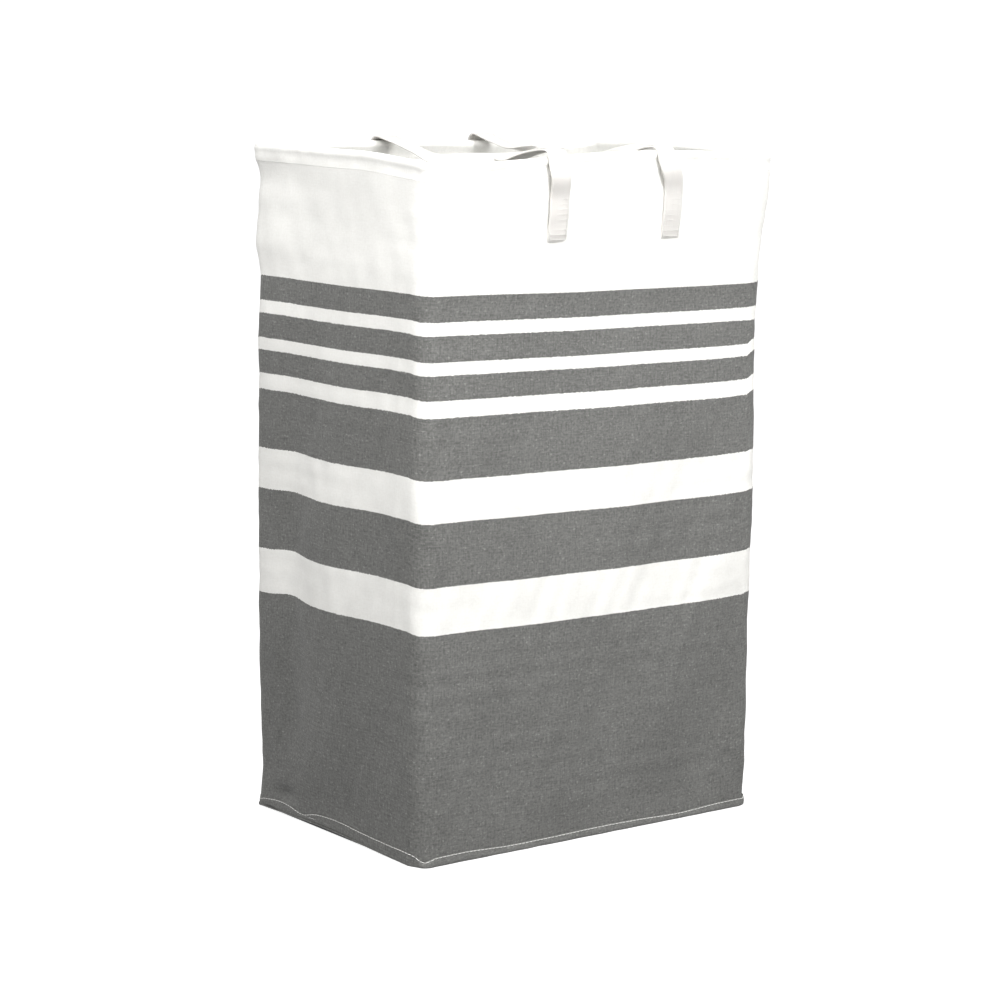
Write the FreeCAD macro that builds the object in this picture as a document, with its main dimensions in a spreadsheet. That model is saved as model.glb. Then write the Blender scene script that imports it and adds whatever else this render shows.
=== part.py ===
import FreeCAD, Part
import math
import os
import Sketcher

# Open laundry hamper of printed cloth, in millimetres, +Z up. The origin is the middle of the
# underside, X runs along the long side and the front long face looks towards -Y.
# The cloth is cut in two panels, one over the front and left faces and one over the back and
# right faces, sewn together at two opposite corners. A steel wire in the folded hem keeps the
# mouth open, a board stiffens the floor, and a webbing handle crosses each long side of the rim.
# Every panel is made in two lengths, below and above the level where the cloth starts to fold
# when the rim is pushed down to the floor.

SIZES = {
    "body_length": 392.0,      # outside of the cloth, below the flare
    "body_width": 273.0,
    "body_corner": 18.0,
    "cloth_thick": 0.9,
    "film_thick": 0.3,         # waterproof film on the inside of the cloth
    "fold_level": 503.0,       # lower edge of the plain band at the top
    "rim_length": 400.0,       # outside of the hem's round casing
    "rim_width": 295.0,
    "rim_corner": 30.0,
    "rim_top": 622.0,
    "casing_radius": 4.3,
    "casing_bore": 3.4,
    "wire_radius": 2.0,
    "wire_gap": 0.6,           # between the wire's two ends, inside the ferrule
    "ferrule_radius": 2.9,
    "ferrule_length": 30.0,
    "hem_depth": 18.0,         # from the top of the casing down to the hem's seam
    "hem_thick": 1.8,          # two layers of cloth
    "lip_depth": 9.0,          # base seam, turned outward
    "lip_reach": 3.0,
    "board_thick": 2.5,
    "board_clear": 0.5,
    "tape_width": 12.0,        # binding over the two corner seams
    "tape_thick": 0.8,
    "tape_inset": 22.0,        # from the end of the short face to the tape
    "strap_width": 22.0,
    "strap_thick": 2.0,
    "strap_clear": 0.1,        # between strap and casing
    "loop_clear": 0.3,         # between the handle's fixed ends and its loop
    "sewn_foot": 548.0,        # lower and upper level of the stitched strap ends
    "sewn_head": 586.0,
    "front_spacing": 130.0,    # between the two straps of a handle
    "back_spacing": 116.0,
    "front_shift": 5.5,        # each handle sits a little off the middle, towards +X
    "back_shift": 12.0,
    "loop_reach": 118.0,       # how far a folded loop reaches in from the rim
    "loop_drop": 25.0,         # and how far its inner end hangs down
}

LEAST_CUT = 1.0                # cubic millimetres that a pocket has to remove
LOOP_SPANS = 26                # flat stretches that a loop's band is made of
TWIST_END = 75.0               # the band stands on edge this far along from the rim
DROP_POWER = 1.6               # shape of the loop's droop, 1 for a straight slope


class Size:
    """A length with the spreadsheet expression that gives it."""

    def __init__(self, value, text):
        self.value, self.text = value, text

    def __add__(self, other):
        other = size(other)
        return Size(self.value + other.value, f"({self.text} + {other.text})")

    def __sub__(self, other):
        other = size(other)
        return Size(self.value - other.value, f"({self.text} - {other.text})")

    def __mul__(self, factor):
        return Size(self.value * factor, f"({self.text} * {factor})")

    def __truediv__(self, other):
        other = size(other)
        return Size(self.value / other.value, f"({self.text} / {other.text})")

    def __neg__(self):
        return self * -1


def size(number_or_name):
    if isinstance(number_or_name, Size):
        return number_or_name
    if isinstance(number_or_name, str):
        return Size(SIZES[number_or_name], f"sizes.{number_or_name}")
    return Size(float(number_or_name), repr(float(number_or_name)))


doc = FreeCAD.newDocument("laundry_hamper")
sheet = doc.addObject("Spreadsheet::Sheet", "sizes")
for row, (alias, number) in enumerate(SIZES.items(), start=1):
    sheet.set(f"A{row}", alias)
    sheet.set(f"B{row}", str(number))
    sheet.setAlias(f"B{row}", alias)
doc.recompute()

subparts = []


def new_body(label):
    body = doc.addObject("PartDesign::Body", label)
    body.Label = label
    subparts.append(body)
    return body


def new_sketch(body, name, plane="XY_Plane", offset=0.0):
    """A sketch on one of the body's own origin planes, moved along the plane's normal."""
    sketch = body.newObject("Sketcher::SketchObject", name)
    planes = [f for f in body.Origin.OriginFeatures if f.Role == plane]
    sketch.AttachmentSupport = [(planes[0], "")]
    sketch.MapMode = "FlatFace"
    offset = size(offset)
    sketch.AttachmentOffset = FreeCAD.Placement(
        FreeCAD.Vector(0, 0, offset.value), FreeCAD.Rotation()
    )
    sketch.setExpression(".AttachmentOffset.Base.z", offset.text)
    return sketch


def drive(sketch, name, bound, kind, *where):
    """Adds a dimension to the sketch and binds it to the bound size's expression."""
    index = sketch.addConstraint(Sketcher.Constraint(kind, *where, bound.value))
    sketch.renameConstraint(index, name)
    sketch.setExpression(f"Constraints.{name}", bound.text)


def rounded_rectangle(body, name, outline, level):
    """A sketch of a rectangle with round corners, centred on the origin."""
    length, width, corner = outline
    sketch = new_sketch(body, name, offset=level)
    a, b, r = length.value / 2, width.value / 2, corner.value
    ends = [
        ((r - a, -b), (a - r, -b)),
        ((a, r - b), (a, b - r)),
        ((a - r, b), (r - a, b)),
        ((-a, b - r), (-a, r - b)),
    ]
    for start, end in ends:
        start, end = FreeCAD.Vector(*start, 0), FreeCAD.Vector(*end, 0)
        sketch.addGeometry(Part.LineSegment(start, end))
    centres = [(a - r, r - b), (a - r, b - r), (r - a, b - r), (r - a, r - b)]
    for quarter, centre in enumerate(centres):
        circle = Part.Circle(FreeCAD.Vector(*centre, 0), FreeCAD.Vector(0, 0, 1), r)
        start = math.radians(90 * (quarter - 1))
        sketch.addGeometry(Part.ArcOfCircle(circle, start, start + math.pi / 2))
    for side in range(4):
        arc, following = 4 + side, (side + 1) % 4
        sketch.addConstraint(Sketcher.Constraint("Tangent", side, 2, arc, 1))
        sketch.addConstraint(Sketcher.Constraint("Tangent", arc, 2, following, 1))
        straight = "Vertical" if side % 2 else "Horizontal"
        sketch.addConstraint(Sketcher.Constraint(straight, side))
    for arc in (5, 6, 7):
        sketch.addConstraint(Sketcher.Constraint("Equal", 4, arc))
    sketch.addConstraint(Sketcher.Constraint("Symmetric", 4, 3, 6, 3, -1, 1))
    drive(sketch, "corner", corner, "Radius", 4)
    drive(sketch, "length", length, "DistanceX", 3, 1, 1, 1)
    drive(sketch, "width", width, "DistanceY", 0, 1, 2, 1)
    return sketch


def inset(outline, by):
    """The outline of a rounded rectangle, moved in all round."""
    length, width, corner = outline
    return length - by * 2, width - by * 2, corner - by


def grown(outline, by):
    return inset(outline, -by)


def pad(body, sketch, length, midplane=False):
    feature = body.newObject("PartDesign::Pad", f"{sketch.Name}_pad")
    feature.Profile = sketch
    feature.setExpression("Length", length.text)
    if midplane:
        feature.SideType = "Symmetric"
    doc.recompute()
    return feature


def cut_through(body, sketch):
    """Pockets the sketch right through the body, both ways, and checks that it removed some."""
    before = body.Shape.Volume
    feature = body.newObject("PartDesign::Pocket", f"{sketch.Name}_pocket")
    feature.Profile = sketch
    feature.Type = "ThroughAll"
    feature.SideType = "Symmetric"
    doc.recompute()
    if not 0 < body.Shape.Volume < before - LEAST_CUT:
        raise RuntimeError(f"{sketch.Name} cut nothing from {body.Label}")
    return feature


def loft(body, kind, name, low, high):
    """Lofts between two (outline, level) pairs, adding to the body or taking from it."""
    sketches = [
        rounded_rectangle(body, f"{name}_{end}", outline, level)
        for end, (outline, level) in (("low", low), ("high", high))
    ]
    feature = body.newObject(f"PartDesign::{kind}Loft", name)
    feature.Profile = sketches[0]
    feature.Sections = [sketches[1]]
    feature.Ruled = True
    doc.recompute()


def ring_wall(label, low, high, thick):
    """A wall all round the hamper between two outlines, each with its level."""
    body = new_body(label)
    loft(body, "Additive", f"{label}_outside", low, high)
    inner = [(inset(outline, thick), level) for outline, level in (low, high)]
    loft(body, "Subtractive", f"{label}_inside", *inner)
    return body


def keep_half(body, half):
    """Cuts a ring at two opposite corners and keeps the front left or the back right half."""
    far_x, far_y = size("body_length"), size("body_width")
    corner = (far_x, far_y) if half == "front_left" else (-far_x, -far_y)
    points = [(-far_x, far_y), (far_x, -far_y), corner]
    cut_through(body, outline_sketch(body, f"{body.Name}_half", "XY_Plane", 0.0, points))


def outline_sketch(body, name, plane, offset, points, arcs=None):
    """A closed outline through points, straight between them, or an arc of that radius
    and turn where arcs says so for the edge that starts at a point."""
    sketch = new_sketch(body, name, plane, offset)
    arcs = arcs or {}
    count = len(points)
    for k in range(count):
        start, end = points[k], points[(k + 1) % count]
        p = FreeCAD.Vector(start[0].value, start[1].value, 0)
        q = FreeCAD.Vector(end[0].value, end[1].value, 0)
        if k in arcs:
            centre, radius, turn = arcs[k]
            middle = FreeCAD.Vector(centre[0].value, centre[1].value, 0)
            circle = Part.Circle(middle, FreeCAD.Vector(0, 0, 1), radius.value)
            first, last = (p, q) if turn > 0 else (q, p)
            begins = math.atan2(first.y - middle.y, first.x - middle.x)
            ends = math.atan2(last.y - middle.y, last.x - middle.x)
            if ends < begins:
                ends += 2 * math.pi
            sketch.addGeometry(Part.ArcOfCircle(circle, begins, ends))
        else:
            sketch.addGeometry(Part.LineSegment(p, q))
    end_of = [1 if k in arcs and arcs[k][2] < 0 else 2 for k in range(count)]
    start_of = [3 - e for e in end_of]
    for k in range(count):
        following = (k + 1) % count
        sketch.addConstraint(
            Sketcher.Constraint("Coincident", k, end_of[k], following, start_of[following])
        )
    for k, (across, up) in enumerate(points):
        drive(sketch, f"across_{k}", across, "DistanceX", -1, 1, k, start_of[k])
        drive(sketch, f"up_{k}", up, "DistanceY", -1, 1, k, start_of[k])
    for k, (_, radius, _) in arcs.items():
        drive(sketch, f"radius_{k}", radius, "Radius", k)
    return sketch


def circle_sketch(body, name, plane, offset, centre, radii):
    sketch = new_sketch(body, name, plane, offset)
    across, up = centre
    for k, radius in enumerate(radii):
        middle = FreeCAD.Vector(across.value, up.value, 0)
        sketch.addGeometry(Part.Circle(middle, FreeCAD.Vector(0, 0, 1), radius.value))
        drive(sketch, f"across_{k}", across, "DistanceX", -1, 1, k, 3)
        drive(sketch, f"up_{k}", up, "DistanceY", -1, 1, k, 3)
        drive(sketch, f"radius_{k}", radius, "Radius", k)
    return sketch


def sweep_round(body, kind, name, radius):
    """Sweeps a circle round the wire's line, adding to the body or taking from it."""
    path = rounded_rectangle(body, f"{name}_path", WIRE_LINE, WIRE_LEVEL)
    start = -(WIRE_LINE[0] / 2 - WIRE_LINE[2])
    profile = circle_sketch(
        body, f"{name}_section", "YZ_Plane", start, (-WIRE_LINE[1] / 2, WIRE_LEVEL), [radius]
    )
    feature = body.newObject(f"PartDesign::{kind}Pipe", name)
    feature.Profile = profile
    feature.Spine = path
    doc.recompute()


BODY = (size("body_length"), size("body_width"), size("body_corner"))
RIM = (size("rim_length"), size("rim_width"), size("rim_corner"))
WIRE_LINE = inset(RIM, size("casing_radius"))
WIRE_LEVEL = size("rim_top") - size("casing_radius")
HEM_LEVEL = size("rim_top") - size("hem_depth")
HEM = grown(WIRE_LINE, size("hem_thick") / 2)
BAND_TOP = grown(WIRE_LINE, size("cloth_thick") / 2)
HALVES = ("front_left", "back_right")


def make_floor():
    """The cloth under the hamper, the board on it, the film over the board and the lip."""
    base = new_body("base_cloth")
    pad(base, rounded_rectangle(base, "base_outline", BODY, 0.0), size("cloth_thick"))

    inside = inset(BODY, size("cloth_thick") + size("film_thick") + size("board_clear"))
    board = new_body("base_board")
    outline = rounded_rectangle(board, "board_outline", inside, size("cloth_thick"))
    pad(board, outline, size("board_thick"))

    film = new_body("floor_film")
    level = size("cloth_thick") + size("board_thick")
    pad(film, rounded_rectangle(film, "film_outline", inside, level), size("film_thick"))

    lip = new_body("base_seam_lip")
    outside = grown(BODY, size("lip_reach"))
    pad(lip, rounded_rectangle(lip, "lip_outline", outside, 0.0), size("lip_depth"))
    cut_through(lip, rounded_rectangle(lip, "lip_inside", BODY, 0.0))


def make_panels():
    """Cloth and film of both panels, below and above the fold level."""
    film = inset(BODY, size("cloth_thick")), inset(BAND_TOP, size("cloth_thick"))
    fold = size("fold_level")
    stretches = [
        ("cloth_lower", (BODY, size("cloth_thick")), (BODY, fold), "cloth_thick"),
        ("cloth_upper", (BODY, fold), (BAND_TOP, HEM_LEVEL), "cloth_thick"),
        ("film_lower", (film[0], size("cloth_thick")), (film[0], fold), "film_thick"),
        ("film_upper", (film[0], fold), (film[1], HEM_LEVEL), "film_thick"),
    ]
    for half in HALVES:
        for name, low, high, thick in stretches:
            keep_half(ring_wall(f"{half}_{name}", low, high, size(thick)), half)


def make_tapes():
    """Binding over the seams at the back left and front right corners, inside the film."""
    wall = size("cloth_thick") + size("film_thick")
    levels = {
        "lower": (size("lip_depth"), size("fold_level")),
        "upper": (size("fold_level"), HEM_LEVEL),
    }
    for corner, side in (("back_left", -1), ("front_right", 1)):
        for stretch, (foot, head) in levels.items():
            label = f"{corner}_seam_tape_{stretch}"
            tape = doc.addObject("Part::Box", label)
            tape.Label = label
            tape.setExpression("Length", size("tape_thick").text)
            tape.setExpression("Width", size("tape_width").text)
            tape.setExpression("Height", (head - foot).text)
            left = -(size("body_length") / 2 - wall)
            near = size("body_width") / 2 - size("tape_inset") - size("tape_width")
            if side > 0:
                left, near = -left - size("tape_thick"), -near - size("tape_width")
            tape.setExpression(".Placement.Base.x", left.text)
            tape.setExpression(".Placement.Base.y", near.text)
            tape.setExpression(".Placement.Base.z", foot.text)
            subparts.append(tape)


def make_rim():
    """The folded hem with its round casing, the wire in it and the ferrule on the wire."""
    overlap = size("casing_radius") - size("casing_bore")
    hem_height = size("hem_depth") - size("casing_radius") * 2 + overlap / 2
    for half in HALVES:
        hem = new_body(f"{half}_hem")
        pad(hem, rounded_rectangle(hem, f"{half}_hem_outline", HEM, HEM_LEVEL), hem_height)
        inner = inset(HEM, size("hem_thick"))
        cut_through(hem, rounded_rectangle(hem, f"{half}_hem_inside", inner, HEM_LEVEL))
        sweep_round(hem, "Additive", f"{half}_casing", size("casing_radius"))
        sweep_round(hem, "Subtractive", f"{half}_bore", size("casing_bore"))
        keep_half(hem, half)

    wire = new_body("rim_wire")
    sweep_round(wire, "Additive", "wire_round", size("wire_radius"))
    half_gap, far = size("wire_gap") / 2, size("rim_width")
    points = [(-half_gap, size(0)), (half_gap, size(0)), (half_gap, far), (-half_gap, far)]
    cut_through(wire, outline_sketch(wire, "wire_ends", "XY_Plane", 0.0, points))

    ferrule = new_body("wire_ferrule")
    radii = [size("ferrule_radius"), size("wire_radius")]
    centre = (WIRE_LINE[1] / 2, WIRE_LEVEL)
    section = circle_sketch(ferrule, "ferrule_section", "YZ_Plane", 0.0, centre, radii)
    pad(ferrule, section, size("ferrule_length"), midplane=True)


def wall_face(level):
    """How far out the flared cloth's outer face is from the middle, at a level, across Y."""
    rise = (level - size("fold_level")) / (HEM_LEVEL - size("fold_level"))
    low, high = BODY[1] / 2, BAND_TOP[1] / 2
    flare = high - low
    return low + Size(rise.value * flare.value, f"({rise.text} * {flare.text})")


def strap_place(row, side):
    """Where the middle of a strap is along X."""
    return size(f"{row}_shift") + size(f"{row}_spacing") / 2 * side


def make_strap_ends():
    """The fixed ends of each handle: sewn to the cloth, then up over the outside of the hem."""
    foot, head = size("sewn_foot"), size("sewn_head")
    thick, clear = size("strap_thick"), size("strap_clear")
    inner = size("casing_radius") + clear
    outer = inner + thick
    line = WIRE_LINE[1] / 2
    for row, facing in (("front", -1), ("back", 1)):
        for side_name, side in (("left", -1), ("right", 1)):
            label = f"{row}_handle_end_{side_name}"
            body = new_body(label)
            away = [
                (wall_face(foot) + clear, foot),
                (wall_face(head) + clear, head),
                (line + inner, WIRE_LEVEL),
                (line, WIRE_LEVEL + inner),
                (line, WIRE_LEVEL + outer),
                (line + outer, WIRE_LEVEL),
                (wall_face(head) + clear + thick, head),
                (wall_face(foot) + clear + thick, foot),
            ]
            points = [(across * facing, up) for across, up in away]
            centre = (line * facing, WIRE_LEVEL)
            arcs = {2: (centre, inner, facing), 4: (centre, outer, -facing)}
            place = strap_place(row, side)
            section = outline_sketch(
                body, f"{label}_section", "YZ_Plane", place, points, arcs
            )
            pad(body, section, size("strap_width"), midplane=True)


def loop_line(spacing, share):
    """A point on the middle line of a loop, from its left root at share 0 to its right root
    at 1: (across from the handle's middle, in from the rim, fall), and the length so far."""
    radius = spacing / 2
    leg = SIZES["loop_reach"] - radius
    along = share * (2 * leg + math.pi * radius)
    total = 2 * leg + math.pi * radius
    if along < leg:
        across, inward = -radius, along
    elif along > total - leg:
        across, inward = radius, total - along
    else:
        turn = (along - leg) / radius
        across, inward = -radius * math.cos(turn), leg + radius * math.sin(turn)
    fall = SIZES["loop_drop"] * (inward / SIZES["loop_reach"]) ** DROP_POWER
    return FreeCAD.Vector(across, inward, -fall), min(along, total - along)


def loop_section(spacing, share):
    """The band's rectangular section there. It lies flat on the rim at both roots and stands
    on edge at the loop's inner end, with its outer edge turned up."""
    step = 1e-3
    before, _ = loop_line(spacing, max(share - step, 0.0))
    after, _ = loop_line(spacing, min(share + step, 1.0))
    middle, along = loop_line(spacing, share)
    ahead = (after - before).normalize()
    level = ahead.cross(FreeCAD.Vector(0, 0, 1)).normalize()
    upward = level.cross(ahead)
    turned = min(along / TWIST_END, 1.0)
    twist = -math.pi / 2 * turned * turned * (3 - 2 * turned)
    wide = level * math.cos(twist) + upward * math.sin(twist)
    thin = ahead.cross(wide)
    half_wide, half_thin = SIZES["strap_width"] / 2, SIZES["strap_thick"] / 2
    corners = [
        middle + wide * (half_wide * w) + thin * (half_thin * n)
        for w, n in ((-1, -1), (1, -1), (1, 1), (-1, 1))
    ]
    return Part.makePolygon([*corners, corners[0]])


def make_loops():
    """The free loop of each handle, folded in over the rim. It starts on top of the hem,
    just outside the fixed ends' thickness, and turns about the wire."""
    height = (
        WIRE_LEVEL.value + SIZES["casing_radius"] + SIZES["strap_clear"]
        + SIZES["strap_thick"] + SIZES["loop_clear"] + SIZES["strap_thick"] / 2
    )
    for row, facing in (("front", -1), ("back", 1)):
        spacing = SIZES[f"{row}_spacing"]
        sections = [loop_section(spacing, k / LOOP_SPANS) for k in range(LOOP_SPANS + 1)]
        band = doc.addObject("Part::Feature", f"{row}_handle_loop")
        band.Label = f"{row}_handle_loop"
        band.Shape = Part.makeLoft(sections, True, True)
        root = FreeCAD.Vector(SIZES[f"{row}_shift"], facing * WIRE_LINE[1].value / 2, height)
        turned = FreeCAD.Rotation(FreeCAD.Vector(0, 0, 1), 0 if facing < 0 else 180)
        band.Placement = FreeCAD.Placement(root, turned)
        subparts.append(band)


make_floor()
make_panels()
make_tapes()
make_rim()
make_strap_ends()
make_loops()
doc.recompute()

for thing in doc.Objects:
    if any(state in ("Invalid", "Error") for state in thing.State):
        raise RuntimeError(f"{thing.Name} failed: {thing.State}")
os.makedirs("parts", exist_ok=True)
for subpart in subparts:
    shape = subpart.Shape
    if shape.isNull() or not shape.isValid() or shape.Volume <= 0:
        raise RuntimeError(f"{subpart.Label} has no valid solid")
    box = shape.BoundBox
    spans = " ".join(
        f"{low:.1f}..{high:.1f}"
        for low, high in ((box.XMin, box.XMax), (box.YMin, box.YMax), (box.ZMin, box.ZMax))
    )
    print(f"{subpart.Label}: {len(shape.Solids)} solid, {shape.Volume:.0f} mm3, {spans}")
    shape.exportStep(f"parts/{subpart.Label}.step")
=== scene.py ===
import math

import bpy
import numpy as np
from mathutils import Matrix, Vector


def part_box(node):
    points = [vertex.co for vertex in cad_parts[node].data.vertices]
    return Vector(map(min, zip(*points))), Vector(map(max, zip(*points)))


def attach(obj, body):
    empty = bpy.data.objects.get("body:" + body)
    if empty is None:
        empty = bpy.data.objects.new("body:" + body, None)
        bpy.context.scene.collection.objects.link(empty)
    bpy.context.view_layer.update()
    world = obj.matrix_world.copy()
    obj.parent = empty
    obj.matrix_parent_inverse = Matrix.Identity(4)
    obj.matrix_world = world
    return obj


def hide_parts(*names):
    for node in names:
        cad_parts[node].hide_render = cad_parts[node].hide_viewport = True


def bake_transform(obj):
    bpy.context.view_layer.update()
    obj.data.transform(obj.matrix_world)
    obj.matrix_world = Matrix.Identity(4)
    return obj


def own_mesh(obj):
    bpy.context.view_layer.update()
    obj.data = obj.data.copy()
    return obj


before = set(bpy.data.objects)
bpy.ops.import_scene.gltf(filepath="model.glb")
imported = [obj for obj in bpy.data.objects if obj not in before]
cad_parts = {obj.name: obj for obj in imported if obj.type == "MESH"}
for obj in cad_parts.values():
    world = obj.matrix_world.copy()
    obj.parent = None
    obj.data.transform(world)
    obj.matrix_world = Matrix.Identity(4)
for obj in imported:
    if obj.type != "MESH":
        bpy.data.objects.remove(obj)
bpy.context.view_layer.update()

# The open laundry hamper's looks, in metres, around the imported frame. Walls, hem, lip, straps
# and stitches are all placed by wall(), which knows how the cloth hangs between floor and rim.
# A place round the hamper is a station: each side and each corner is one, counted anticlockwise
# from the far end of the left side. 0 to 1 is the left side, 1 to 2 the near corner, 2 to 3 the
# front, 3 to 4 the right corner, 4 to 5 the right side, 6 to 7 the back, 7 to 8 the left corner.

base_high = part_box("base_cloth")[1]
wall_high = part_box("front_left_cloth_lower")[1]
hem_low, hem_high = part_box("front_left_hem")
wire_low, wire_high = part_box("rim_wire")
lip_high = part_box("base_seam_lip")[1]
ferrule_low, ferrule_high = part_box("wire_ferrule")
board_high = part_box("base_board")[1]

BODY_X, BODY_Y, BODY_CORNER = base_high.x, base_high.y, 0.018
CLOTH = base_high.z                                # one layer of the printed cloth
LINING, LINING_OUT = 0.0003, -CLOTH - 0.00015      # the film's thickness, and where its face is
WIRE_RADIUS = (wire_high.z - wire_low.z) / 2
WIRE_Z = (wire_high.z + wire_low.z) / 2
WIRE_X, WIRE_Y = wire_high.x - WIRE_RADIUS, wire_high.y - WIRE_RADIUS
WIRE_CORNER = 0.0257
FOLD_Z, HEM_Z, RIM_Z = wall_high.z, hem_low.z, hem_high.z
CASING = RIM_Z - WIRE_Z                            # outer radius of the hem's round casing
BAND_X, BAND_Y, BAND_CORNER = WIRE_X + CLOTH / 2, WIRE_Y + CLOTH / 2, WIRE_CORNER + CLOTH / 2

FLARE_FOOT, FLARE_HEAD = 0.458, 0.552              # the wall leans out between these levels
RIM_SHIFT = Vector((0.0045, -0.0020))              # the rim hangs a little off the middle
HEM_OUT = 0.0034                                   # the wall meets the hem this far out
PULL_FOOT = 0.515                                  # and draws the cloth along from here up

# How much higher than its level the rim stands, round the hamper, in millimetres.
RIM_RISE = [
    (0.1, 3.8), (0.45, 2.0), (0.75, 0.6), (0.92, -2.6), (1.5, -6.0), (2.08, -5.2), (2.27, -1.6),
    (2.40, 1.4), (2.65, 3.5), (2.85, 2.4), (3.5, 0.2), (4.10, 2.6), (4.35, 5.0), (4.75, 6.2),
    (5.5, 2.4), (6.15, 2.4), (6.45, 4.6), (6.75, 4.4), (7.5, 3.8),
]
CAMERA_PLACE = (-1.5547, -2.0329, 0.6974)
CAMERA_YAW, CAMERA_PITCH, CAMERA_ROLL = 37.29, 8.96, 0.80
CAMERA_LENS = 98.93

PANELS = {"front_left": -0.5, "back_right": 3.5}   # the station that each panel starts at
COLUMN_STEP, ROW_STEP, CORNER_STEPS = 0.004, 0.004, 12


def make_camera():
    yaw, pitch = math.radians(CAMERA_YAW), math.radians(CAMERA_PITCH)
    data = bpy.data.cameras.new("camera")
    data.lens, data.sensor_width = CAMERA_LENS, 36
    camera = bpy.data.objects.new("camera", data)
    bpy.context.scene.collection.objects.link(camera)
    ahead = Vector((math.sin(yaw) * math.cos(pitch), math.cos(yaw) * math.cos(pitch), -math.sin(pitch)))
    turn = ahead.to_track_quat("-Z", "Y").to_matrix().to_4x4()
    roll = math.radians(CAMERA_ROLL)
    camera.matrix_world = Matrix.Translation(CAMERA_PLACE) @ turn @ Matrix.Rotation(roll, 4, "Z")
    bpy.context.scene.camera = camera


# ---- shape of the cloth ----

def smooth(value, low, high):
    share = np.clip((value - low) / (high - low), 0, 1)
    return share * share * (3 - 2 * share)


def bell(value, middle, width):
    return np.exp(-(((value - middle) / width) ** 2))


def along_table(value, table, period=None):
    """A smooth curve through a few (place, value) pairs, joined end to end if it has a period."""
    places = np.array([p for p, _ in table], float)
    values = np.array([v for _, v in table], float)
    value = np.asarray(value, float)
    if period:
        places = np.concatenate([places[-2:] - period, places, places[:2] + period])
        values = np.concatenate([values[-2:], values, values[:2]])
        value = np.mod(value, period)
    slopes = np.gradient(values, places)
    k = np.clip(np.searchsorted(places, value) - 1, 0, len(places) - 2)
    gap = places[k + 1] - places[k]
    t = np.clip((value - places[k]) / gap, 0, 1)
    return (
        (2 * t**3 - 3 * t**2 + 1) * values[k]
        + (t**3 - 2 * t**2 + t) * gap * slopes[k]
        + (3 * t**2 - 2 * t**3) * values[k + 1]
        + (t**3 - t**2) * gap * slopes[k + 1]
    )


def outline(station, half_x, half_y, corner):
    """Places and outward directions on a rectangle with round corners."""
    station = np.mod(station, 8)
    side = np.floor(station / 2)
    share = station - 2 * side
    facing = math.pi * (1 + side / 2)
    nx, ny = np.cos(facing), np.sin(facing)
    turn = np.clip(share - 1, 0, 1) * math.pi / 2
    run = np.where(side % 2 == 0, half_y, half_x) - corner
    depth = np.where(side % 2 == 0, half_x, half_y) - corner
    along = run * np.clip(2 * share - 1, -1, 1)
    out_x, out_y = np.cos(turn) * nx - np.sin(turn) * ny, np.cos(turn) * ny + np.sin(turn) * nx
    x = nx * depth - ny * along + corner * out_x
    y = ny * depth + nx * along + corner * out_y
    return x, y, out_x, out_y


SIDE_LENGTHS = [2 * (BODY_Y - BODY_CORNER), 2 * (BODY_X - BODY_CORNER)] * 2
ARC_LENGTH = math.pi / 2 * BODY_CORNER
MARKS = np.cumsum([0.0] + [x for length in SIDE_LENGTHS for x in (length, ARC_LENGTH)])
GIRTH = MARKS[-1]


def distance(station):
    """How far round the hamper a station is, in metres, from station 0."""
    station = np.asarray(station, float)
    turns = np.floor(station / 8)
    return turns * GIRTH + np.interp(station - 8 * turns, np.arange(9), MARKS)


def station_at(side, across, level):
    """The station on a long side whose cloth hangs at that X, at that level."""
    run = 2 * (BODY_X - BODY_CORNER) * (1 if side == "front" else -1)
    station = 2.5 if side == "front" else 6.5
    for _ in range(4):
        station += (across - float(wall(station, level)[0])) / run
    return station


def ripples(station, height, seed, rounds, rises, waves=14):
    """Random soft waves, about 1 high, with so many waves round the hamper and per metre up."""
    rng = np.random.default_rng(seed)
    turn = distance(station) / GIRTH * 2 * math.pi
    total = 0.0
    for _ in range(waves):
        count, rise = rng.integers(*rounds), rng.uniform(*rises) * rng.choice([-1, 1])
        total = total + np.sin(count * turn + rise * 2 * math.pi * height + rng.uniform(0, 7))
    return total / math.sqrt(waves / 2)


def beside(station, middle, width):
    """1 at one station, falling away on both sides of it, also across station 0."""
    return bell(np.mod(station - middle + 4, 8) - 4, 0, width)


# How far the two corners at the sides of the view stand out, by level, in millimetres.
LEFT_CORNER_OUT = [
    (0.0, -1.6), (0.02, -2.2), (0.10, -1.6), (0.20, -0.9), (0.30, -0.6), (0.38, -1.2),
    (0.46, -0.4), (0.518, -0.8), (0.53, 2.0), (0.545, 2.6), (0.56, 1.8), (0.577, 1.2),
    (0.589, -0.4), (0.601, 1.8), (0.609, 5.2), (0.617, 4.8), (0.63, -0.6),
]
RIGHT_CORNER_OUT = [
    (0.0, 0.4), (0.08, 0.8), (0.16, 1.8), (0.40, 2.0), (0.47, 1.2), (0.54, 0.8), (0.60, 0.4),
]


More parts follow.
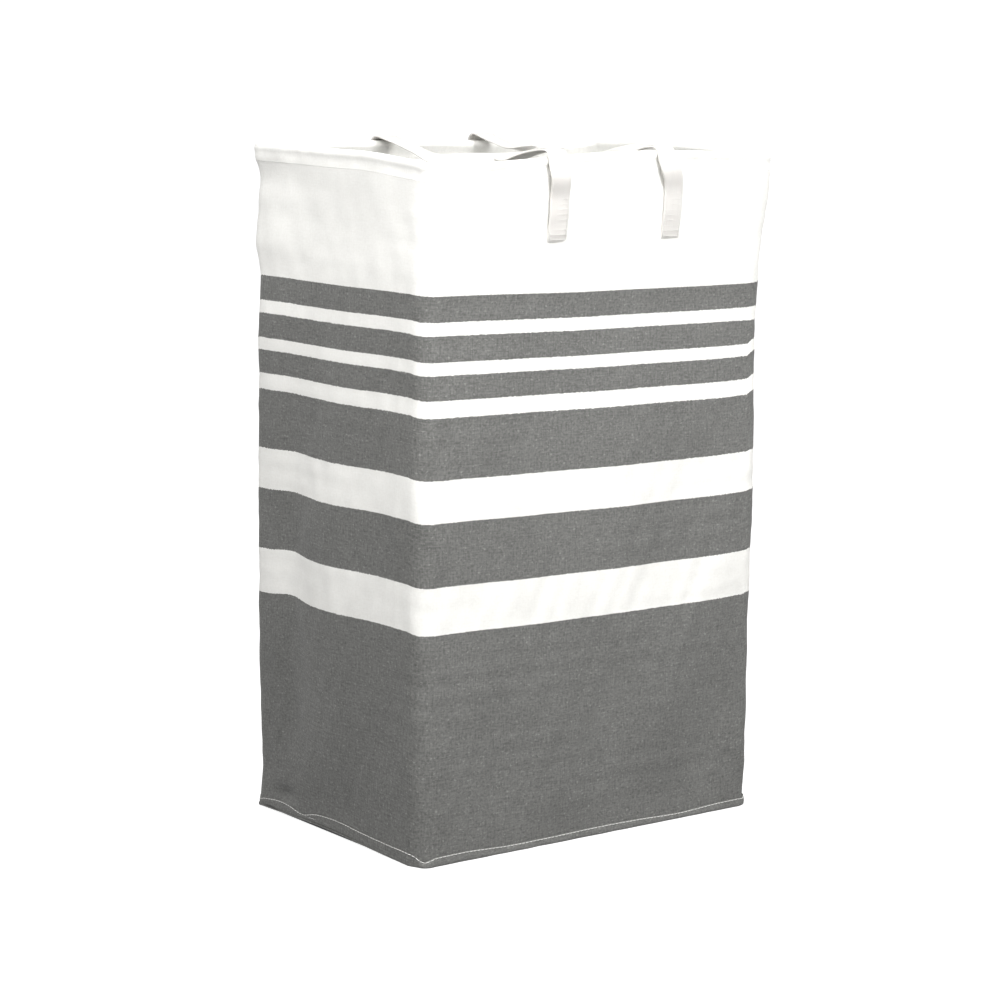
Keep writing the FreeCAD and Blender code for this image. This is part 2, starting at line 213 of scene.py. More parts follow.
def bulge(station, height):
    """How far the cloth stands out from the straight wall. It is held at the floor and the hem."""
    free = smooth(height, 0.0, 0.05) * (1 - 0.75 * smooth(height, 0.56, HEM_Z))
    soft = 0.0009 * ripples(station, height, 3, (3, 14), (1, 5))
    fine = 0.00022 * ripples(station, height, 4, (20, 60), (6, 22))
    pleats = 0.00010 * ripples(station, height, 5, (0, 5), (38, 60))
    side = np.mod(station, 8)
    middle = np.clip(np.sin(math.pi * np.clip(np.mod(side, 2), 0, 1)), 0, 1)
    belly = 0.0022 * middle * np.sin(math.pi * np.clip(height / 0.5, 0, 1))
    crease_part = smooth(height, 0.12, 0.22) * (1 - smooth(height, 0.50, 0.56))
    crease = 0.0011 * bell(side, 0.925, 0.009) * crease_part
    low_part = smooth(height, 0.02, 0.10) * (1 - smooth(height, 0.25, 0.48))
    dent = -0.0045 * low_part * bell(side, 0.22, 0.10)
    swell = 0.0030 * low_part * bell(side, 0.52, 0.16)
    seam = -0.0012 * (bell(side, 3.5, 0.06) + bell(side, 7.5, 0.06))
    left = 0.001 * along_table(height, LEFT_CORNER_OUT) * beside(station, 7.8, 0.5)
    right = 0.001 * along_table(height, RIGHT_CORNER_OUT) * beside(station, 3.6, 0.5)
    tuck = -0.0020 * beside(station, 0.5, 0.35) * (1 - smooth(height, 0.01, 0.06))
    groove = -0.0050 * bell(side, 0.15, 0.075) * bell(height, 0.0165, 0.0065)
    loose = soft + fine + pleats + belly + crease + dent + swell
    return free * loose + seam + left + right + tuck + groove


def foot_lift(station):
    """How high the seam round the base stands off the floor: the left side curls up a little."""
    return 0.0036 * beside(station, 0.44, 0.36)


def sag(station, height):
    """How far the print has slid up or down from its level."""
    side = np.mod(station, 8)
    low_left = 0.0026 * bell(side, 0.19, 0.12) * (1 - smooth(height, 0.21, 0.33))
    left = 0.0016 * smooth(side, 0.03, 0.2) * (1 - smooth(side, 1.0, 1.6))
    left = left * (1 - 0.5 * smooth(height, 0.3, 0.5))
    high_left = 0.0018 * beside(station, 0.0, 0.28) * smooth(height, 0.26, 0.40)
    near_corner = 0.0013 * bell(side, 0.85, 0.22) * (1 - 0.6 * smooth(height, 0.46, 0.52))
    front = -0.0015 * smooth(side, 2.05, 2.45) * (1 - smooth(side, 3.1, 3.9))
    low_right = 0.0026 * smooth(side, 2.75, 3.25) * (1 - smooth(height, 0.345, 0.385))
    gathered = 0.0045 * smooth(side, 2.90, 3.30)
    gathered = gathered * smooth(height, 0.36, 0.395) * (1 - smooth(height, 0.446, 0.468))
    high_right = 0.0010 * smooth(side, 2.85, 3.15) * smooth(height, 0.468, 0.48)
    right = (low_right + gathered + high_right) * (1 - smooth(side, 3.7, 4.6))
    moved = low_left + left + high_left + near_corner + front + right
    return moved * smooth(height, 0.0, 0.06) * (1 - smooth(height, 0.56, HEM_Z))


def meet_at_fold(station, level):
    """A sheet's level before it hangs, moved so that its edge hangs on the fold line itself."""
    near = smooth(level, FOLD_Z - 0.05, FOLD_Z) * (1 - smooth(level, FOLD_Z, FOLD_Z + 0.04))
    slid = sag(station, FOLD_Z - sag(station, FOLD_Z))
    return level - sag(station, FOLD_Z - slid) * near


def wall(station, height, out=0.0):
    """Points out from the cloth's outer face, at a station and a level before it hangs."""
    station, height, out = np.broadcast_arrays(np.asarray(station, float), height, out)
    flare = smooth(height, FLARE_FOOT, FLARE_HEAD)
    x, y, nx, ny = outline(
        station,
        BODY_X + flare * (BAND_X - BODY_X),
        BODY_Y + flare * (BAND_Y - BODY_Y),
        BODY_CORNER + flare * (BAND_CORNER - BODY_CORNER),
    )
    pull = smooth(height, PULL_FOOT, HEM_Z)
    hem = smooth(height, 0.540, HEM_Z) * (1 - smooth(height, HEM_Z, WIRE_Z))
    out = out + bulge(station, height) + HEM_OUT * hem
    rise = 0.001 * along_table(station, RIM_RISE, 8) * smooth(height, 0.53, HEM_Z)
    rise = rise + foot_lift(station) * (1 - smooth(height, 0.0, 0.06))
    return np.stack(
        [
            x + nx * out + RIM_SHIFT.x * pull,
            y + ny * out + RIM_SHIFT.y * pull,
            height + rise + sag(station, height),
        ],
        axis=-1,
    )


# ---- meshes ----

def crisp_borders(mesh):
    """Keep the smooth shading from running over open borders and round end caps."""
    edges = np.zeros(len(mesh.loops), int)
    mesh.loops.foreach_get("edge_index", edges)
    uses = np.bincount(edges, minlength=len(mesh.edges))
    sharp = uses == 1
    for face in mesh.polygons:
        if face.loop_total > 4:
            sharp[edges[face.loop_start:face.loop_start + face.loop_total]] = True
    mesh.attributes.new("sharp_edge", "BOOLEAN", "EDGE").data.foreach_set("value", sharp)


def new_piece(name, points, faces, uvs, material, body=None):
    """A smooth-shaded piece with one texture place for each point."""
    mesh = bpy.data.meshes.new(name)
    mesh.from_pydata(np.asarray(points).reshape(-1, 3).tolist(), [], faces)
    layer = mesh.uv_layers.new(name="UVMap")
    corners = np.zeros(len(mesh.loops), int)
    mesh.loops.foreach_get("vertex_index", corners)
    layer.data.foreach_set("uv", np.asarray(uvs, float).reshape(-1, 2)[corners].ravel())
    mesh.shade_smooth()
    crisp_borders(mesh)
    mesh.materials.append(material)
    piece = bpy.data.objects.new(name, mesh)
    bpy.context.scene.collection.objects.link(piece)
    if body:
        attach(piece, body)
    return piece


def grid_faces(rows, columns, start=0, loop_rows=False, loop_columns=False):
    faces = []
    for i in range(rows if loop_rows else rows - 1):
        for j in range(columns if loop_columns else columns - 1):
            a, b = start + i * columns + j, start + i * columns + (j + 1) % columns
            c = start + ((i + 1) % rows) * columns
            faces.append((a, b, c + (j + 1) % columns, c + j))
    return faces


def thicken(piece, thickness, offset=-1):
    """Give a sheet its thickness, in the mesh itself so that it bends with the sheet."""
    solid = piece.modifiers.new("thickness", "SOLIDIFY")
    solid.thickness, solid.offset = thickness, offset
    solid.use_even_offset = True
    made = piece.evaluated_get(bpy.context.evaluated_depsgraph_get())
    piece.data = bpy.data.meshes.new_from_object(made)
    piece.modifiers.clear()
    return piece


def panel_stations(start):
    """Stations across a panel, closer together round the corners."""
    bends = [start + share for share in (0, 0.5, 1.5, 2.5, 3.5, 4)]
    stations = []
    for k, (first, last) in enumerate(zip(bends, bends[1:])):
        fewest = CORNER_STEPS if k % 2 == 0 else 0    # a panel starts and ends in a corner
        steps = max(fewest, round(float(distance(last) - distance(first)) / COLUMN_STEP))
        stations.extend(np.linspace(first, last, steps, endpoint=False))
    return np.array([*stations, start + 4])


def wall_sheet(name, start, levels, out, thickness, material, body):
    """A panel's cloth or film between the first and the last of the levels."""
    stations = panel_stations(start)
    q, z = np.meshgrid(stations, levels)
    z = meet_at_fold(q, z)
    uv = np.stack([distance(q), z], axis=-1)
    faces = grid_faces(*q.shape)
    piece = new_piece(name, wall(q, z, out), faces, uv, material, body)
    return thicken(piece, thickness)


def levels_between(low, high, step=ROW_STEP):
    return np.linspace(low, high, round((high - low) / step) + 1)


def ring_sweep(name, rings, uvs, material, body, closed=False):
    """A tube through rings of points, capped at its ends unless it closes on itself."""
    rings = np.asarray(rings)
    rows, columns = rings.shape[:2]
    faces = grid_faces(rows, columns, loop_rows=closed, loop_columns=True)
    if not closed:
        faces.append(tuple(range(columns))[::-1])
        faces.append(tuple(range((rows - 1) * columns, rows * columns)))
    return new_piece(name, rings, faces, uvs, material, body)


def stitches(name, ends, radius, material, body):
    """Short threads, each from one point to another with its middle raised along up."""
    points, faces, uvs = [], [], []
    sides, steps = 6, 5
    for start, finish, up in ends:
        along = finish - start
        length = np.linalg.norm(along)
        along = along / length
        up = up - along * np.dot(up, along)
        up = up / np.linalg.norm(up)
        across = np.cross(along, up)
        first = len(points)
        for k in range(steps):
            t = k / (steps - 1)
            thick = radius * (0.55 + 0.45 * math.sin(math.pi * t))
            middle = start + along * length * t + up * radius * (1.5 * math.sin(math.pi * t) - 0.7)
            for s in range(sides):
                angle = 2 * math.pi * s / sides
                points.append(middle + thick * (math.cos(angle) * across + math.sin(angle) * up))
                uvs.append((s / sides * 0.003, t * length))
        faces += grid_faces(steps, sides, first, loop_columns=True)
        faces.append(tuple(range(first, first + sides))[::-1])
        faces.append(tuple(range(first + (steps - 1) * sides, first + steps * sides)))
    return new_piece(name, points, faces, uvs, material, body)


def make_walls(cloth, film):
    for half, start in PANELS.items():
        lower = wall_sheet(
            f"{half}_printed_lower", start, levels_between(CLOTH, FOLD_Z), 0.0, CLOTH, cloth, "base"
        )
        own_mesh(lower)
        upper = wall_sheet(
            f"{half}_printed_upper", start, levels_between(FOLD_Z, HEM_Z), 0.0, CLOTH, cloth, "rim"
        )
        lining = wall_sheet(
            f"{half}_lining_lower", start, levels_between(board_high.z, FOLD_Z), LINING_OUT,
            LINING, film, "base",
        )
        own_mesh(lining)
        lining_top = wall_sheet(
            f"{half}_lining_upper", start, levels_between(FOLD_Z, HEM_Z), LINING_OUT,
            LINING, film, "rim",
        )
        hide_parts(f"{half}_cloth_lower")
        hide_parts(f"{half}_cloth_upper")
        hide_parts(f"{half}_film_lower")
        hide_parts(f"{half}_film_upper")


def hem_section():
    """The hem's cloth, as (out, level) from its outer seam over the wire to its inner seam."""
    middle, radius = -CLOTH / 2, CASING - CLOTH / 2
    first, last = math.radians(-24), math.radians(205)
    turns = np.linspace(first, last, 25)
    round_part = [(middle + radius * math.cos(a), WIRE_Z + radius * math.sin(a)) for a in turns]
    climb = np.linspace(0, 1, 9)[:-1]
    slack = climb ** 2.2                              # the cloth hangs in a little on its way up
    outer = [
        (middle + (round_part[0][0] - middle) * s, HEM_Z + (round_part[0][1] - HEM_Z) * c)
        for c, s in zip(climb, slack)
    ]
    foot = middle - 0.0012
    inner = [
        (foot + (round_part[-1][0] - foot) * s, HEM_Z + (round_part[-1][1] - HEM_Z) * c)
        for c, s in zip(climb, slack)
    ][::-1]
    return np.array(outer + round_part + inner)


def make_hems(cloth):
    section = hem_section()
    for half, start in PANELS.items():
        stations = panel_stations(start)
        q, out = np.meshgrid(stations, section[:, 0])
        level = np.broadcast_to(section[:, 1:2], q.shape)
        pucker = 0.00028 * ripples(q, level, 8, (60, 150), (2, 20))
        wave = 0.0004 * ripples(q, level, 9, (14, 40), (1, 4))
        lift = smooth(level, HEM_Z + 0.001, HEM_Z + 0.008)
        outward = np.clip((out + CLOTH / 2) / 0.002, -1, 1)
        out = out + outward * pucker * lift + wave * lift * 0.6
        run = np.concatenate([[0.0], np.cumsum(np.linalg.norm(np.diff(section, axis=0), axis=1))])
        cream = np.broadcast_to(FOLD_Z + 0.12 + run[:, None], q.shape)
        uv = np.stack([distance(q), cream], axis=-1)
        hem = new_piece(f"{half}_casing", wall(q, level, out), grid_faces(*q.shape), uv, cloth, "rim")
        thicken(hem, CLOTH, offset=0)
        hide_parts(f"{half}_hem")


def seam_stitches(name, start, span, step, share, height, out, radius, thread, body):
    """A row of stitches round the hamper, each share of a step long."""
    first, last = distance(start), distance(start + span)
    count = round((last - first) / step)
    table = np.linspace(start, start + span, 2000)
    places = np.linspace(first, last, count + 1)[:-1]
    q0 = np.interp(places, distance(table), table)
    q1 = np.interp(places + step * share, distance(table), table)
    z0, z1 = (height(q) if callable(height) else height for q in (q0, q1))
    out0, out1 = (out(q) if callable(out) else out for q in (q0, q1))
    a, b = wall(q0, z0, out0), wall(q1, z1, out1)
    raised = wall(q0, z0, out0 + 0.002) - a
    return stitches(name, list(zip(a, b, raised)), radius, thread, body)


# The base lip round the hamper: its height in millimetres, and the share of its reach.
LIP_HEIGHT = [
    (0.0, 7.6), (0.10, 9.6), (0.20, 8.0), (0.29, 4.8), (0.38, 9.0), (0.48, 10.8), (0.7, 10.8),
    (1.1, 11.4), (1.42, 9.0), (1.6, 5.6), (1.95, 7.8), (2.10, 8.6), (2.23, 6.6), (2.36, 6.8),
    (2.53, 7.6), (2.66, 7.0), (2.80, 5.6), (2.92, 7.4), (3.3, 7.0), (4.3, 9.2), (4.8, 8.2),
    (5.5, 7.4), (6.2, 9.4), (6.7, 8.4), (7.5, 7.6),
]
LIP_REACH = [
    (0.0, 0.20), (0.2, 0.28), (0.5, 0.34), (1.0, 0.36), (1.44, 0.34), (1.52, 0.90), (2.1, 1.0),
    (3.0, 1.0), (3.5, 0.9), (5.0, 1.0), (6.5, 1.0), (7.3, 0.6), (7.7, 0.20),
]


def lip_height(station):
    return 0.001 * along_table(station, LIP_HEIGHT, 8)


def lip_gap(station):
    """How far the lip's lower edge has come away from the floor, next to the left corner."""
    return 0.0022 * beside(station, 0.055, 0.035)


def make_lip(cloth, thread):
    reach = lip_high.x - BODY_X
    # the lip's section: shares of its reach and of its height
    profile = [
        (0.02, 0.30), (0.10, 0.04), (0.45, 0.0), (0.85, 0.03), (1.0, 0.13), (0.98, 0.30),
        (0.85, 0.60), (0.62, 0.85), (0.48, 0.97), (0.32, 1.0), (0.14, 0.97), (0.02, 0.85),
    ]
    stations = np.linspace(0, 8, 8 * 80, endpoint=False)
    rings, uvs = [], []
    for station in stations:
        wave = float(ripples(station, 0.0, 12, (18, 60), (0, 1)))
        tall, under = lip_height(station), lip_gap(station)
        share = float(along_table(station, LIP_REACH, 8))
        outs = np.array([p[0] for p in profile]) * reach * share * (0.93 + 0.06 * wave)
        levels = under + np.array([p[1] for p in profile]) * (tall - under)
        rings.append(wall(station, levels, outs))
        uvs.append([(distance(station), 0.05 + 0.01 * p[1]) for p in profile])    # all grey
    lip = ring_sweep("base_lip_fold", rings, uvs, cloth, "base", closed=True)
    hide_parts("base_seam_lip")
    top = seam_stitches(
        "base_topstitching", 0, 8, 0.0042, 0.90, lambda q: lip_height(q) - 0.0007,
        lambda q: reach * 0.60 * along_table(q, LIP_REACH, 8), 0.00036, thread, "base",
    )


def make_hem_stitching(thread):
    for half, start in PANELS.items():
        for side, out in (("outer", 0.0002), ("inner", -0.0026)):
            row = seam_stitches(
                f"{half}_hem_stitching_{side}", start, 4, 0.0034, 0.8, HEM_Z + 0.0016,
                out, 0.00028, thread, "rim",
            )


def flat_floor(name, half_x, half_y, corner, level, thickness, material, wave, node):
    """A cloth or film that covers the hamper's floor."""
    shares = np.concatenate([[1.0, 0.993, 0.987, 0.98, 0.974, 0.96], np.linspace(0.92, 0.04, 30)])
    stations = np.linspace(0, 8, 160, endpoint=False)
    q, share = np.meshgrid(stations, shares)
    x, y, _, _ = outline(q, half_x, half_y, corner)
    x, y = x * share, y * share
    lift = wave * (1 + np.sin(x * 61 + 3 * np.sin(y * 23)) * np.sin(y * 47 + 1.3)) / 2
    lift = lift * smooth(1 - share, 0, 0.15)
    lift = lift + foot_lift(q) * smooth(share, 0.974, 1.0)
    points = np.stack([x, y, level + lift], axis=-1)
    faces = grid_faces(*q.shape, loop_columns=True)
    faces.append(tuple((len(shares) - 1) * len(stations) + k for k in range(len(stations))))
    uv = np.stack([x, y], axis=-1)
    piece = new_piece(name, points, faces, uv, material, "base")
    thicken(piece, thickness)
    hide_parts(node)


def make_floor_sheets(cloth, film):
    flat_floor(
        "base_underside", BODY_X, BODY_Y, BODY_CORNER, CLOTH, CLOTH, cloth, 0.0,
        "base_cloth",
    )
    edge = CLOTH + 0.0006
    flat_floor(
        "floor_lining", BODY_X - edge, BODY_Y - edge, BODY_CORNER - edge, board_high.z + 0.0005,
        LINING, film, 0.0012, "floor_film",
    )


TAPE_WIDTH = 0.0238


def tape_reach(middle, level):
    """How many stations a binding reaches to each side of its seam at a level."""
    trial = 0.42
    corner = wall(np.linspace(middle - trial, middle + trial, 25), level)
    return trial * TAPE_WIDTH / np.linalg.norm(np.diff(corner, axis=0), axis=1).sum()


def make_tapes(tape):
    """Binding over the two corner seams on the inside."""
    for corner, middle in (("back_left", 7.5), ("front_right", 3.5)):
        for stretch, low, high, body in (
            ("lower", lip_high.z, FOLD_Z, "base"), ("upper", FOLD_Z, HEM_Z, "rim"),
        ):
            levels = levels_between(low, high)
            across, z = np.meshgrid(np.linspace(-1, 1, 13), levels)
            q = middle + across * np.array([[tape_reach(middle, level)] for level in levels])
            z = meet_at_fold(q, z)
            uv = np.stack([across * TAPE_WIDTH / 2, z], axis=-1)
            points = wall(q, z, -CLOTH - 0.0007)
            name = f"{corner}_binding_{stretch}"
            piece = new_piece(name, points, grid_faces(*q.shape), uv, tape, body)
            thicken(piece, 0.0005)
            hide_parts(f"{corner}_seam_tape_{stretch}")
            if stretch == "lower":
                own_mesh(piece)


WIRE_SIDES, SLEEVE_SIDES = 12, 20


def wire_rings(stations, radii, sides):
    """Circles about the line of the wire."""
    rings = []
    for station, radius in zip(stations, radii):
        angles = np.linspace(0, 2 * math.pi, sides, endpoint=False)
        rings.append(
            wall(station, WIRE_Z + radius * np.sin(angles), -CLOTH / 2 + radius * np.cos(angles))
        )
    return np.array(rings)


def make_hoop(steel, sleeve):
    """The wire in the hem, bent as the rim is, and the ferrule that joins its two ends."""
    middle, half_gap = 6.5, 0.001
    stations = np.linspace(middle + half_gap, middle + 8 - half_gap, 700)
    rings = wire_rings(stations, [WIRE_RADIUS] * len(stations), WIRE_SIDES)
    turn = np.arange(WIRE_SIDES) / WIRE_SIDES * 2 * math.pi * WIRE_RADIUS
    uvs = [[(a, distance(q)) for a in turn] for q in stations]
    hoop = ring_sweep("rim_hoop", rings, uvs, steel, "rim")
    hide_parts("rim_wire")

    half = (ferrule_high.x - ferrule_low.x) / 2 / (2 * (BODY_X - BODY_CORNER))
    outer = (ferrule_high.z - ferrule_low.z) / 2
    shares = np.linspace(-1, 1, 33)
    crimps = outer - 0.0005 * sum(bell(shares, place, 0.09) for place in (-0.6, -0.3, 0.3, 0.6))
    crimps[[0, -1]] -= 0.0003
    inner = np.full(len(shares), WIRE_RADIUS + 0.00003)
    shares_round = np.concatenate([shares, shares[::-1]])
    radii = np.concatenate([crimps, inner])
    rings = wire_rings(middle + half * shares_round, radii, SLEEVE_SIDES)
    turn = np.arange(SLEEVE_SIDES) / SLEEVE_SIDES * 2 * math.pi * outer
    uvs = [[(a, s * 0.015) for a in turn] for s in shares_round]
    ferrule = ring_sweep("hoop_sleeve", rings, uvs, sleeve, "rim", closed=True)
    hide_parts("wire_ferrule")


# ---- handles ----

end_low, end_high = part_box("front_handle_end_left")
STRAP_WIDE = end_high.x - end_low.x - 0.001
STRAP_THICK = 0.0016
SEWN_FOOT = end_low.z
SEWN_HEAD = 0.586
HANDLES = {
    # lean: how far a strand has moved along X where it crosses the rim, from its sewn end
    # bow: how far it stands off the wall between its sewn end and the rim
    # arch: how far it stands off the top of the rim
    # reach, drop: how far the loop goes in and hangs down; power: 1 falls straight, more late
    # leg: how far in the strands run side by side before the loop bends round
    # flat, edge: how far in each strand starts to turn on edge, and has turned
    "front": dict(
        facing=-1, lean=(-0.0035, -0.0100), bow=(0.0050, 0.0044), arch=(0.0048, 0.0022), leg=0.058,
        reach=0.118, drop=0.031, power=(1.5, 1.5), flat=(0.055, 0.012), edge=(0.105, 0.075),
    ),
    "back": dict(
        facing=1, lean=(0.000, 0.000), bow=(0.0050, 0.0050), arch=(0.0030, 0.0060), leg=0.080,
        reach=0.124, drop=0.026, power=(1.0, 0.60), flat=(0.060, 0.050), edge=(0.150, 0.110),
    ),
}


def pressed(distance_in):
    """The share of the webbing's thickness left near its sewn-down end."""
    return 0.40 + 0.60 * smooth(distance_in, 0.0, 0.006)


def strand_up(row, hand, side):
    """Middle points of a strand from its sewn foot up over the casing."""
    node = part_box(f"{row}_handle_end_{'left' if side < 0 else 'right'}")
    place = (node[0].x + node[1].x) / 2
    pick = 0 if side < 0 else 1
    lean, bow = hand["lean"][pick], hand["bow"][pick]
    rest = STRAP_THICK / 2 + 0.0001
    levels = np.linspace(SEWN_FOOT, SEWN_HEAD, 16)
    tube = CASING + STRAP_THICK / 2 + 0.0002
    middle = -CLOTH / 2
    sewn = [(rest * float(pressed(z - SEWN_FOOT)), z) for z in levels]
    free = [
        (rest + 0.30 * (bow - rest), SEWN_HEAD + 0.006),
        (rest + 0.78 * (bow - rest), SEWN_HEAD + 0.012),
        (bow, SEWN_HEAD + 0.019),
        (0.35 * bow + 0.65 * (middle + tube) + 0.0004, WIRE_Z - 0.004),
    ]
    turns = np.array([8, 30, 52, 74, 94])
    reaches = tube + hand["arch"][pick] * smooth(turns, 10, 90)
    over = [
        (middle + reach * math.cos(a), WIRE_Z + reach * math.sin(a))
        for a, reach in zip(np.radians(turns), reaches)
    ]
    points = []
    for out, level in sewn + free + over:
        across = place + lean * float(smooth(level, SEWN_HEAD, WIRE_Z))
        points.append(wall(station_at(row, across, level), level, out))
    return np.array(points)


def loop_points(left, right, hand):
    """Middle points of the loop between the strands' tops."""
    facing, leg, reach, drop = (hand[k] for k in ("facing", "leg", "reach", "drop"))
    half = np.linalg.norm(right[:2] - left[:2]) / 2
    turn = np.linspace(0, math.pi, 31)
    across = np.concatenate([np.full(12, -half), -half * np.cos(turn), np.full(12, half)])
    inward = np.concatenate(
        [
            np.linspace(0.006, leg, 12, endpoint=False),
            leg + (reach - leg) * np.sin(turn),
            np.linspace(leg, 0.006, 13)[1:],
        ]
    )
    share = (across / half + 1) / 2
    power = hand["power"][0] * (1 - share) + hand["power"][1] * share
    fall = drop * (inward / reach) ** power - drop * (0.006 / reach) ** power
    middle = left * (1 - share)[:, None] + right * share[:, None]
    inner = np.stack([np.zeros_like(inward), -facing * inward, -fall], axis=-1)
    points = middle + inner
    points[:, 2] += -0.0006 + 0.0007 * np.sin(inward * 60)
    return points


def refine(points, step):
    """Points about a step apart on a smooth curve through the given ones."""
    lengths = np.concatenate([[0.0], np.cumsum(np.linalg.norm(np.diff(points, axis=0), axis=1))])
    places = np.linspace(0, lengths[-1], round(lengths[-1] / step) + 1)
    axes = [along_table(places, list(zip(lengths, points[:, k]))) for k in range(3)]
    return np.stack(axes, axis=-1), places, lengths


def strap_frame(path, places, root_left, root_right, hand):
    """A strap's directions across and through it along its path, and how far in each point is."""
    ahead = np.gradient(path, axis=0)
    ahead /= np.linalg.norm(ahead, axis=1)[:, None]
    level = np.cross(ahead, [0, 0, 1])
    flat_left = np.array([-hand["facing"], 0, 0], float)
    level /= np.maximum(np.linalg.norm(level, axis=1), 1e-9)[:, None]
    inside = smooth(places, root_left - 0.004, root_left + 0.03) * (
        1 - smooth(places, root_right - 0.03, root_right + 0.004)
    )
    before = places < (root_left + root_right) / 2
    fixed = np.where(before[:, None], flat_left, -flat_left)
    level = level * inside[:, None] + fixed * (1 - inside[:, None])
    into = np.minimum(places - root_left, root_right - places)
    flat = np.where(before, hand["flat"][0], hand["flat"][1])
    edge = np.where(before, hand["edge"][0], hand["edge"][1])
    twist = -math.pi / 2 * smooth(into, flat, edge)
    level -= ahead * np.sum(level * ahead, axis=1)[:, None]
    level /= np.linalg.norm(level, axis=1)[:, None]
    upward = np.cross(level, ahead)
    wide = level * np.cos(twist)[:, None] + upward * np.sin(twist)[:, None]
    return wide, np.cross(ahead, wide), into


def make_handle(row, webbing, thread):
    hand = HANDLES[row]
    left, right = strand_up(row, hand, -1), strand_up(row, hand, 1)
    loop = loop_points(left[-1], right[-1], hand)
    path, places, lengths = refine(np.concatenate([left, loop, right[::-1]]), 0.003)
    for _ in range(2):
        path[1:-1] = (path[:-2] + 2 * path[1:-1] + path[2:]) / 4
    root_left, root_right = lengths[len(left) - 1], lengths[len(left) + len(loop)]
    wide, thin, into = strap_frame(path, places, root_left, root_right, hand)
    half = STRAP_WIDE / 2
    thick = STRAP_THICK / 2 * pressed(np.minimum(places, places[-1] - places))
    # the strap's section: shares of its half width, and of its thickness there
    spread = np.array([-1, -0.985, -0.93, -0.7, -0.35, 0, 0.35, 0.7, 0.93, 0.985, 1.0])
    swell = np.array([0.0, 0.6, 0.92, 1, 1, 1, 1, 1, 0.92, 0.6, 0.0])
    ring = [*zip(spread, swell), *zip(spread[-2:0:-1], -swell[-2:0:-1])]
    cup = 0.0005 * smooth(into, -0.01, 0.02)
    rings, uvs = [], []
    for k in range(len(path)):
        rings.append([
            path[k] + wide[k] * half * s + thin[k] * (thick[k] * t + cup[k] * (s * s - 0.3))
            for s, t in ring
        ])
        uvs.append([(half * s, places[k]) for s, _ in ring])
    strap = ring_sweep(f"{row}_handle_webbing", rings, uvs, webbing, None)
    side = -hand["facing"]
    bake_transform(strap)
    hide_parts(f"{row}_handle_end_left", f"{row}_handle_end_right", f"{row}_handle_loop")
    for name, side in (("left", -1), ("right", 1)):
        make_stitch_block(row, name, side, thread)


def make_stitch_block(row, name, side, thread):
    """The rows of stitching that hold a strap's end to the cloth."""
    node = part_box(f"{row}_handle_end_{name}")
    place = (node[0].x + node[1].x) / 2
    rows, across_count, margin = 9, 6, 0.0018
    ends = []
    width = STRAP_WIDE - 2 * margin
    out, foot, head = STRAP_THICK + 0.0001, SEWN_FOOT + 0.002, SEWN_HEAD - 0.001

    def on_strap(x, z, extra=0.0):
        return wall(station_at(row, x, z), z, out + extra)

    for z in np.linspace(foot, head, rows):
        for x in place - width / 2 + width * np.arange(across_count) / across_count:
            start, end = on_strap(x, z), on_strap(x + width / across_count * 0.82, z)
            ends.append((start, end, on_strap(x, z, 0.002) - start))
    for x in (place - width / 2, place + width / 2):
        steps = np.linspace(foot, head, 11)
        for z, above in zip(steps, steps[1:]):
            start, end = on_strap(x, z), on_strap(x, z + 0.8 * (above - z))
            ends.append((start, end, on_strap(x, z, 0.002) - start))
    block = stitches(f"{row}_handle_stitching_{name}", ends, 0.00026, thread, "rim")


# ---- materials ----

